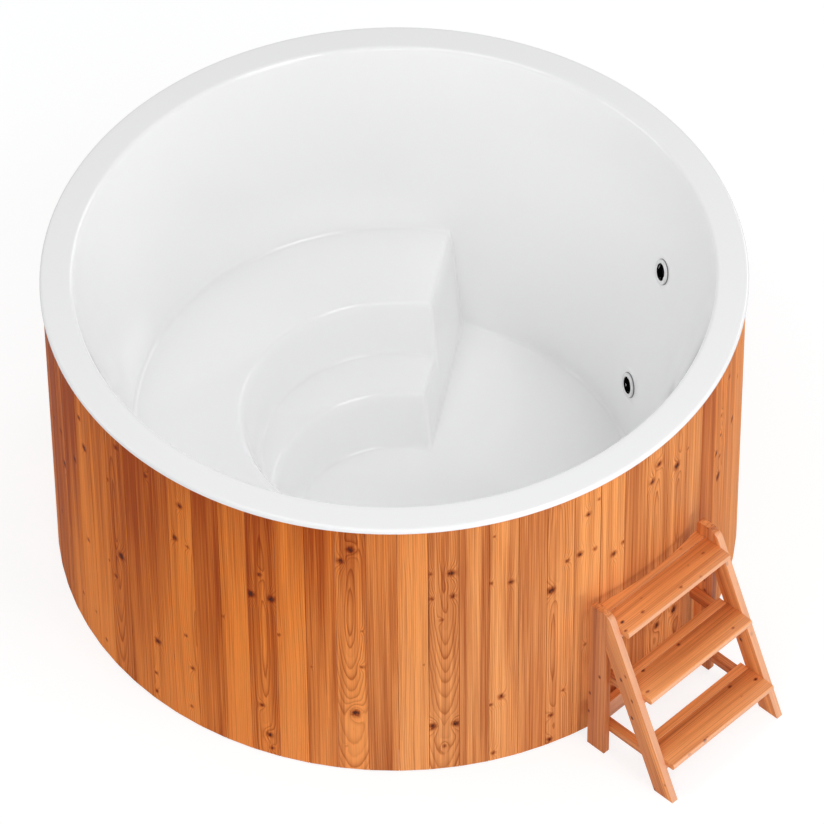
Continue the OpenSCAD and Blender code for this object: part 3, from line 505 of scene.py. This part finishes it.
# The boards in front, counted from the first joint: tone from 0, pale orange, to 1, dark
# red-brown; strength of the figure; pith across; rings' closest depth, at what height, and
# how fast they sink away from there; knots as (across, height, radius)
SEEN = {
    37: (0.60, 0.5, 0.09, 0.02, 0.5, 0.05, [(0.012, 0.62, 0.007)]),
    38: (1.00, 0.4, 0.12, 0.02, 0.4, 0.03, [(-0.01, 0.66, 0.006), (0.02, 0.30, 0.005)]),
    39: (0.50, 0.6, 0.02, 0.012, 0.6, 0.10, [(-0.010, 0.69, 0.007), (0.008, 0.575, 0.009)]),
    40: (0.70, 0.5, -0.08, 0.02, 0.3, 0.05, [(0.022, 0.69, 0.008), (0.025, 0.13, 0.005)]),
    41: (0.06, 0.6, 0.10, 0.02, 0.7, 0.05,
         [(-0.016, 0.906, 0.007), (0.008, 0.806, 0.009), (0.0, 0.415, 0.006),
          (0.022, 0.13, 0.004)]),
    42: (0.24, 0.4, -0.10, 0.02, 0.5, 0.04, [(0.033, 0.44, 0.004), (-0.01, 0.06, 0.005)]),
    43: (0.46, 1.0, -0.010, 0.003, 0.64, 0.55,
         [(0.009, 0.51, 0.011), (-0.022, 0.40, 0.006), (0.010, 0.96, 0.007),
          (-0.038, 0.79, 0.005)]),
    44: (0.58, 0.4, 0.11, 0.02, 0.5, 0.03, []),
    45: (0.34, 0.7, -0.05, 0.010, 0.2, 0.12,
         [(-0.036, 0.944, 0.006), (-0.020, 0.265, 0.009), (-0.034, 0.12, 0.005),
          (-0.035, 0.04, 0.006)]),
    46: (0.20, 0.7, 0.045, 0.010, 0.45, 0.16,
         [(0.002, 0.905, 0.008), (-0.020, 0.760, 0.008), (0.024, 0.75, 0.005),
          (0.004, 0.367, 0.005), (0.023, 0.240, 0.006), (0.013, 0.07, 0.005)]),
    47: (0.72, 0.5, 0.13, 0.02, 0.5, 0.03, []),
    48: (0.22, 0.6, -0.12, 0.02, 0.5, 0.04, [(-0.038, 0.527, 0.004)]),
    49: (0.62, 1.0, 0.002, 0.003, 0.55, 0.40,
         [(-0.004, 0.755, 0.006), (-0.032, 0.665, 0.010), (0.030, 0.668, 0.010),
          (-0.008, 0.205, 0.006), (0.010, 0.085, 0.008), (0.018, 0.03, 0.006)]),
    50: (0.16, 0.6, 0.12, 0.02, 0.5, 0.04, [(-0.037, 0.527, 0.005)]),
    51: (0.56, 0.6, -0.14, 0.02, 0.5, 0.04, [(-0.03, 0.42, 0.003)]),
    52: (0.35, 1.0, 0.000, 0.0035, 0.69, 0.95,
         [(0.002, 0.927, 0.009), (-0.026, 0.878, 0.008), (0.030, 0.595, 0.0035),
          (0.028, 0.446, 0.005), (0.008, 0.246, 0.011), (-0.020, 0.10, 0.003)]),
    53: (0.50, 0.8, 0.16, 0.02, 0.5, 0.03, []),
    54: (0.12, 0.6, -0.11, 0.02, 0.5, 0.04, [(0.030, 0.455, 0.003)]),
    55: (0.42, 1.0, 0.002, 0.003, 0.88, 0.75,
         [(-0.036, 0.830, 0.005), (0.022, 0.825, 0.009), (-0.034, 0.727, 0.006),
          (0.026, 0.730, 0.007), (-0.006, 0.636, 0.005), (-0.032, 0.190, 0.009),
          (0.032, 0.192, 0.009), (0.0, 0.10, 0.005)]),
    56: (0.42, 0.5, 0.13, 0.02, 0.4, 0.03, []),
    57: (0.08, 0.6, -0.07, 0.014, 0.6, 0.08,
         [(-0.028, 0.944, 0.004), (-0.038, 0.755, 0.005), (0.020, 0.742, 0.007),
          (-0.008, 0.270, 0.008), (-0.038, 0.245, 0.005), (-0.030, 0.035, 0.006)]),
    58: (0.58, 0.4, 0.14, 0.02, 0.5, 0.03, []),
    59: (0.42, 0.9, -0.020, 0.006, 0.40, 0.30,
         [(-0.030, 0.655, 0.010), (0.020, 0.752, 0.006), (-0.028, 0.125, 0.007),
          (0.012, 0.212, 0.005), (-0.030, 0.02, 0.007)]),
    60: (0.24, 0.6, 0.09, 0.015, 0.5, 0.06,
         [(0.000, 0.905, 0.007), (0.035, 0.946, 0.005), (0.025, 0.750, 0.006),
          (-0.026, 0.757, 0.008), (-0.004, 0.367, 0.005)]),
    61: (0.24, 0.7, -0.05, 0.010, 0.8, 0.12, [(0.004, 0.685, 0.008), (0.038, 0.712, 0.006)]),
    62: (0.54, 0.5, 0.12, 0.02, 0.5, 0.03, []),
    63: (0.28, 1.0, 0.000, 0.003, 0.62, 0.50,
         [(0.002, 0.927, 0.008), (-0.024, 0.878, 0.008), (0.010, 0.250, 0.009)]),
    64: (0.30, 0.9, 0.008, 0.005, 0.72, 0.45, [(-0.002, 0.855, 0.010), (0.003, 0.250, 0.010)]),
    65: (0.45, 0.6, -0.10, 0.02, 0.5, 0.05, [(-0.036, 0.880, 0.004)]),
    66: (0.76, 0.4, 0.12, 0.02, 0.5, 0.03, []),
    67: (0.36, 0.8, 0.010, 0.008, 0.60, 0.20,
         [(-0.030, 0.695, 0.007), (0.004, 0.820, 0.005), (0.004, 0.740, 0.005),
          (0.000, 0.655, 0.005), (-0.008, 0.580, 0.010)]),
    68: (0.36, 0.6, -0.08, 0.015, 0.5, 0.06, [(-0.026, 0.920, 0.006), (0.022, 0.700, 0.008)]),
    69: (0.05, 0.6, 0.11, 0.02, 0.5, 0.04, [(-0.01, 0.82, 0.005)]),
    70: (0.10, 0.6, -0.12, 0.02, 0.5, 0.04, []),
    71: (0.20, 0.7, 0.06, 0.012, 0.4, 0.10, [(0.01, 0.60, 0.006)]),
}
# How dark a joint looks, for the joints that stand out: the joint left of a board. The
# ones below zero catch the light.
JOINTS = {61: 1.0, 55: 0.7, 58: 0.6, 56: 0.5, 44: 0.5, 57: 0.4, 60: 0.5, 48: 0.3, 63: 0.3,
          52: -1.0, 53: -0.5, 50: -0.6, 46: -0.4, 54: -0.3, 49: -0.3}
PLAIN_JOINT = 0.25
# points on either side of a board's section that belong to its joint
JOINT_POINTS = 3


def board_figure(i, y, z, rng):
    """The growth rings' radius at (y, z) on board i: sqrt((y - cy)^2 + sink^2), where sink, the
    pith's depth under the face, is depth + 0.14 fall h^2 / (0.12 + |h|) + a slow wave and h is
    the height from the rings' closest point. Each knot pushes the rings outwards by a bell
    of its size. With it the knots' mask, 1 in a knot and 0 away from it, the board's tone
    and the strength of its figure."""
    figured = rng.random() < 0.4
    tone, strength = float(np.clip(rng.normal(0.45, 0.18), 0.0, 1.0)), rng.uniform(0.4, 0.7)
    cy, depth = rng.choice([-1, 1]) * rng.uniform(0.06, 0.16), rng.uniform(0.010, 0.030)
    middle, fall = rng.uniform(0.2, 0.8), rng.uniform(0.03, 0.06)
    if figured:
        strength, cy, depth, fall = 1.0, rng.uniform(-0.02, 0.02), 0.004, rng.uniform(0.2, 0.8)
    knots = [(rng.uniform(-0.032, 0.032), rng.uniform(0.05, 0.97), rng.uniform(0.004, 0.010))
             for _ in range(rng.choice([0, 1, 2, 3, 4], p=[0.2, 0.25, 0.25, 0.2, 0.1]))]
    if i in SEEN:
        tone, strength, cy, depth, middle, fall, knots = SEEN[i]
    h = z - middle
    sink = depth + fall * 0.14 * h * h / (0.12 + np.abs(h)) + 0.0012 * np.sin(14.0 * z + 2.0 * i)
    ring = np.sqrt((y - cy - 0.004 * np.sin(6.0 * z + i)) ** 2 + sink**2)
    mask = np.zeros_like(y)
    for ky, kz, kr in knots:
        bell = np.exp(-(((y - ky) / (2.0 * kr)) ** 2) - ((z - kz) / (4.0 * kr)) ** 2)
        ring = ring + 2.0 * kr * bell
        d = np.sqrt(((y - ky) / kr) ** 2 + ((z - kz) / (1.15 * kr)) ** 2)
        mask = np.maximum(mask, min(0.52 + 46 * kr, 1.0) * np.exp(-0.5 * d * d))
    return ring, mask, tone, strength


def board_painted_shade(i, z):
    """How board i's tone shifts at height z, and how warm its colour is there, both painted shade.
    Towards the left the boards in front are darker above than below, painted shade under the rim's
    lip, and warmer, painted shade on the side the light misses; all are warmer above, painted shade
    under the lip."""
    lip_shade = warm = 0.5
    if i in SEEN:
        # painted shade under the rim's lip, strongest on the boards to the left
        lip_shade = smooth(np.clip((56 - i) / 6, 0.0, 1.0))
        warm = smooth(np.clip((57 - i) / 9, 0.0, 1.0)) + 0.4 * (i > 65)
    return 0.55 * lip_shade * (z - 0.5), np.clip(warm + 0.5 * (z - 0.45), 0.0, 1.0)


def board_section():
    """Points (depth, across) round one board's section, from back left over the front to back
    right, in the board's own frame, where depth 0 is the tub's axis."""
    half_w = WALL_RADIUS * math.sin(PITCH / 2) - HALF_GAP
    face = WALL_RADIUS * math.cos(PITCH / 2)
    back_w = (face - BOARD_T) * math.tan(PITCH / 2) - HALF_GAP
    front = [(face, y) for y in np.linspace(-half_w + BEVEL, half_w - BEVEL, FACE_N)]
    left = [(face - BOARD_T, -back_w), (face - 0.006, -half_w + 0.0003),
            (face - BEVEL, -half_w), (face - 0.3 * BEVEL, -half_w + 0.3 * BEVEL)]
    right = [(d, -y) for d, y in reversed(left)]
    return np.array(left + front + right)


section = board_section()
section_n = len(section)
y, z = np.meshgrid(section[:, 1], np.linspace(BOARD_LOW, BOARD_HIGH, HEIGHT_N))
depth = np.broadcast_to(section[:, 0], y.shape)
wall_material, wall_tree, wall_bsdf = material("cladding_oiled_wood")
for g, (low, high) in enumerate(GROUPS):
    all_points, all_faces, grains, count = [], [], [], 0
    layers = {label: [] for label in ("ring", "knot", "tone", "figure", "warm", "edge")}
    for i in range(low, high):
        az = FIRST_JOINT + (i + 0.5) * PITCH
        ring, mask, tone, strength = board_figure(i, y, z, np.random.default_rng(1000 + i))
        # painted shade: the tone darkens and warms under the rim's lip and on the left boards
        shift, warm = board_painted_shade(i, z)
        edge = np.zeros(section_n)
        edge[:JOINT_POINTS] = JOINTS.get(i, PLAIN_JOINT)
        edge[-JOINT_POINTS:] = JOINTS.get(i + 1, PLAIN_JOINT)
        for label, value in (("ring", ring), ("knot", mask), ("tone", tone + shift),
                             ("figure", strength), ("warm", warm), ("edge", edge)):
            layers[label].append(np.broadcast_to(value, y.shape).ravel())
        grain = np.stack([y + 0.37 * i, depth - WALL_RADIUS, z + 0.11 * i], -1)
        grains.append(grain.reshape(-1, 3))
        x_world = depth * math.cos(az) - y * math.sin(az)
        y_world = depth * math.sin(az) + y * math.cos(az)
        all_points.append(np.stack([x_world, y_world, z], -1).reshape(-1, 3))
        idx = count + np.arange(y.size).reshape(y.shape)
        nxt = np.roll(idx, -1, axis=1)
        faces = np.stack([idx[:-1], nxt[:-1], nxt[1:], idx[1:]], -1).reshape(-1, 4)
        all_faces += faces.tolist() + [idx[0][::-1].tolist(), idx[-1].tolist()]
        count += y.size
    obj = mesh_object(f"wall_boards_look_{g + 1:02d}", np.vstack(all_points), all_faces, "tub",
                      shade=False)
    for label, values in layers.items():
        layer = obj.data.attributes.new(label, "FLOAT", "POINT")
        layer.data.foreach_set("value", np.concatenate(values))
    layer = obj.data.attributes.new("grain", "FLOAT_VECTOR", "POINT")
    layer.data.foreach_set("vector", np.vstack(grains).ravel())
    obj.data.materials.append(wall_material)
    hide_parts(f"wall_boards_{g + 1:02d}")


def finish_wood(tree, bsdf, sheen, bump, edge=0.0, **sockets):
    """Links the wood group, with its sockets, to a Principled BSDF and adds its bump. The
    colour is darkened by edge, or lit where edge is below zero, and sheen is the strength
    of the reflections."""
    wood = add(tree, "ShaderNodeGroup", sockets, node_tree=WOOD)
    normal = add(tree, "ShaderNodeBump", {
        "Strength": BUMP_STRENGTH, "Distance": bump, "Height": wood.outputs["Height"]})
    dark = calc(tree, "MAXIMUM", edge, 0.0)
    colour = blend_colour(tree, "MULTIPLY", dark, wood.outputs["Color"], JOINT_TINT)
    lit = calc(tree, "MAXIMUM", calc(tree, "MULTIPLY", edge, -LIT_SHARE), 0.0)
    colour = blend_colour(tree, "MIX", lit, colour, LIT_WOOD)
    set_bsdf(bsdf, Base_Color=colour, Roughness=wood.outputs["Rough"], Normal=normal.outputs[0],
             Specular_IOR_Level=sheen)


def attribute(tree, name, output="Fac"):
    """A mesh attribute's output socket."""
    return add(tree, "ShaderNodeAttribute", attribute_name=name).outputs[output]


finish_wood(wall_tree, wall_bsdf, sheen=BOARD_SHEEN, bump=BOARD_BUMP,
            edge=attribute(wall_tree, "edge"), Grain=attribute(wall_tree, "grain", "Vector"),
            Spacing=BOARD_SPACING, **{name: attribute(wall_tree, name.lower())
                                      for name in ("Ring", "Tone", "Knot", "Figure", "Warm")})

# Stair. Planed and oiled softwood: two side frames, three treads of two boards, battens
# under them and a rear rail. Every edge is rounded over. The CAD solids are kept, with
# their edges softened, and the rings are those of a log that runs along each piece.
STAIR_AZ = -45.0
STRINGER_LEAN = 23.8
FORWARD = (math.cos(math.radians(STAIR_AZ)), math.sin(math.radians(STAIR_AZ)), 0.0)
TREAD_ROUND, FRAME_ROUND = 0.0012, 0.0018
# strength of the painted highlight on the edges that look forwards, from and to which facing; the
# legs have none
FRONT_HIGHLIGHT, FRONT_HIGHLIGHT_FROM, FRONT_HIGHLIGHT_TO = 0.8, 0.45, 0.80
STAIR_SHEEN, STAIR_BUMP = 0.55, 0.0003
STAIR_WOOD = {"Figure": 0.45, "Warm": 0.3, "Spacing": 0.0055}
# small knots: how many to a metre, how each fades from its middle and how far it pushes a
# ring; and how far the pith drifts per metre
KNOT_CELLS, KNOT_FADE, KNOT_PUSH = (23.0, 23.0, 15.0), (0.04, 0.17, 0.9, 0.0), 0.008
PITH_DRIFT = 0.035
# turns, in degrees, that bring the row's axes to a piece's own
TO_STAIR = (0.0, 0.0, -STAIR_AZ)
UPRIGHT = [TO_STAIR]
LEANING = [TO_STAIR, (0.0, STRINGER_LEAN, 0.0)]
ACROSS = [TO_STAIR, (90.0, 0.0, 0.0)]
ALONG = [TO_STAIR, (0.0, -90.0, 0.0)]
PLANKS = [
    # node, direction of its grain, tone
    ("stair_left_leg", UPRIGHT, 0.40), ("stair_right_leg", UPRIGHT, 0.42),
    ("stair_left_stringer", LEANING, 0.34), ("stair_right_stringer", LEANING, 0.38),
    ("top_tread_front", ACROSS, 0.22), ("top_tread_rear", ACROSS, 0.30),
    # The middle tread's low tones make it paler: partly its own tone, partly painted light that
    # lifts the shadow the top tread casts on it.
    ("middle_tread_front", ACROSS, 0.06), ("middle_tread_rear", ACROSS, 0.20),
    ("bottom_tread_front", ACROSS, 0.12), ("bottom_tread_rear", ACROSS, 0.20),
    ("top_battens", ALONG, 0.5), ("middle_battens", ALONG, 0.5), ("bottom_battens", ALONG, 0.5),
    ("stair_rear_rail", ACROSS, 0.5),
]


def plank_material(name, turn, seed, pith, tone, pale):
    """Wood for one plank. turn is the rotations, in degrees, that bring the row's axes to the
    plank's own: X across, Y through and Z along it. The rings' radius is the distance to a
    pith line that drifts with Z: sqrt((x - px)^2 + (y - py + drift z)^2). Faces that look
    forwards, the stringers' front edges and the treads' noses, get a painted highlight of strength
    pale, where the light from the front catches them."""
    made, tree, bsdf = material(name)
    where = add(tree, "ShaderNodeTexCoord").outputs["Object"]
    for angles in turn:
        where = add(tree, "ShaderNodeVectorRotate", {
            "Vector": where, "Rotation": [math.radians(a) for a in angles]},
            rotation_type="EULER_XYZ").outputs[0]
    grain = vector_calc(tree, "ADD", where, (seed * 1.7, seed * 0.9, seed * 2.3))
    x, y, z = add(tree, "ShaderNodeSeparateXYZ", {0: where}).outputs
    dx = calc(tree, "SUBTRACT", x, pith[0])
    dy = calc(tree, "MULTIPLY_ADD", z, PITH_DRIFT, calc(tree, "SUBTRACT", y, pith[1]))
    ring = calc(tree, "SQRT", calc(tree, "ADD", calc(tree, "MULTIPLY", dx, dx),
                                   calc(tree, "MULTIPLY", dy, dy)))
    spots = vector_calc(tree, "MULTIPLY", grain, KNOT_CELLS)
    cell = add(tree, "ShaderNodeTexVoronoi", {"Vector": spots, "Scale": 1.0})
    knot = ramp(tree, cell.outputs["Distance"], *KNOT_FADE)
    ring = calc(tree, "MULTIPLY_ADD", knot, KNOT_PUSH, ring)
    normal = add(tree, "ShaderNodeNewGeometry").outputs["Normal"]
    facing = vector_calc(tree, "DOT_PRODUCT", normal, FORWARD, output=1)
    # painted highlight on the faces that look forwards
    painted_highlight = ramp(tree, facing, FRONT_HIGHLIGHT_FROM, FRONT_HIGHLIGHT_TO, 0.0, -pale)
    finish_wood(tree, bsdf, sheen=STAIR_SHEEN, bump=STAIR_BUMP, edge=painted_highlight, Grain=grain,
                Ring=ring, Tone=tone, Knot=knot, **STAIR_WOOD)
    return made


def dress(piece, made):
    """Gives a CAD piece one material in place of those it has."""
    piece.data.materials.clear()
    piece.data.materials.append(made)


for number, (name, direction, tone) in enumerate(PLANKS):
    piece = node[name]
    weld = piece.modifiers.new("join", "WELD")
    weld.merge_threshold = 0.00002
    rounded = piece.modifiers.new("rounded_edges", "BEVEL")
    rounded.width, rounded.segments = (TREAD_ROUND if "tread" in name else FRAME_ROUND), 3
    rounded.limit_method, rounded.angle_limit = "ANGLE", math.radians(40)
    rounded.harden_normals = True
    piece.data.polygons.foreach_set("use_smooth", [True] * len(piece.data.polygons))
    # the painted highlight on forward faces, none on the legs
    dress(piece, plank_material(
        "wood_" + name, direction, seed=3 + number, pith=(0.03 * math.sin(number * 2.1), 0.05),
        tone=tone, pale=0.0 if direction is UPRIGHT else FRONT_HIGHLIGHT))

# Everything else. The timber frame, plywood, foam, pipes and fittings keep their CAD
# solids, because their shapes are right, and take plain procedural finishes.
FINISHES = {
    # slot, colour, roughness
    "frame_timber": ((0.62, 0.45, 0.27, 1), 0.75),
    "plywood": ((0.66, 0.49, 0.31, 1), 0.7),
    "insulation_foam": ((0.80, 0.72, 0.48, 1), 0.9),
    "fitting_plastic": ((0.84, 0.84, 0.84, 1), 0.18),
    "pipe_plastic": ((0.025, 0.026, 0.028, 1), 0.45),
    "rubber_seal": ((0.16, 0.16, 0.16, 1), 0.6),
    "handle_plastic": ((0.50, 0.03, 0.025, 1), 0.3),
}
# how a finish's tone wanders: the noise's scale and detail, and the ramp to its shade
WANDER_SCALE, WANDER_DETAIL, WANDER_SHADE = 60.0, 4.0, (0.3, 0.7, 0.94, 1.05)
BORE_R, BORE_BLACK = 0.0256, (0.002, 0.002, 0.002, 1)
PLAIN_SHINE, BORE_SHINE_LOSS = 0.5, 0.48


def plain_material(name, colour, roughness):
    """A finish whose tone wanders by a few percent with noise of the place."""
    made, tree, bsdf = material(name)
    where = add(tree, "ShaderNodeTexCoord").outputs["Object"]
    noise = add(tree, "ShaderNodeTexNoise", {
        "Vector": where, "Scale": WANDER_SCALE, "Detail": WANDER_DETAIL})
    factor = ramp(tree, noise.outputs["Fac"], *WANDER_SHADE)
    set_bsdf(bsdf, Base_Color=scaled(tree, colour[:3], factor), Roughness=roughness)
    return made


def darken_bore(made, at, out, radius):
    """Turns a finish black inside a bore: where the distance from the axis through at along
    out, |(P - at) - ((P - at) . out) out|, is under radius."""
    tree = made.node_tree
    bsdf = tree.nodes["Principled BSDF"]
    where = add(tree, "ShaderNodeTexCoord").outputs["Object"]
    from_at = vector_calc(tree, "SUBTRACT", where, at)
    along = scaled(tree, out, vector_calc(tree, "DOT_PRODUCT", from_at, out, output=1))
    off = vector_calc(tree, "DISTANCE", from_at, along, output=1)
    inside = calc(tree, "LESS_THAN", off, radius)
    colour = bsdf.inputs["Base Color"].links[0].from_socket
    shine = calc(tree, "MULTIPLY_ADD", inside, -BORE_SHINE_LOSS, PLAIN_SHINE)
    set_bsdf(bsdf, Base_Color=blend_colour(tree, "MIX", inside, colour, BORE_BLACK),
             Specular_IOR_Level=shine)


slots = {entry["node"]: entry["material_slot"] for entry in frame["record"]["subparts"]}
finishes = {name: plain_material(name, *values) for name, values in FINISHES.items()}
for name, piece in node.items():
    if slots.get(name) in finishes:
        dress(piece, finishes[slots[name]])

# The two wall fittings look into unlit pipes, so their bores are black.
for name, (at, out) in zip(("upper_fitting", "lower_fitting"), fitting_frames):
    own = plain_material("fitting_" + name, *FINISHES["fitting_plastic"])
    darken_bore(own, at.tolist(), out.tolist(), BORE_R)
    dress(node[name], own)
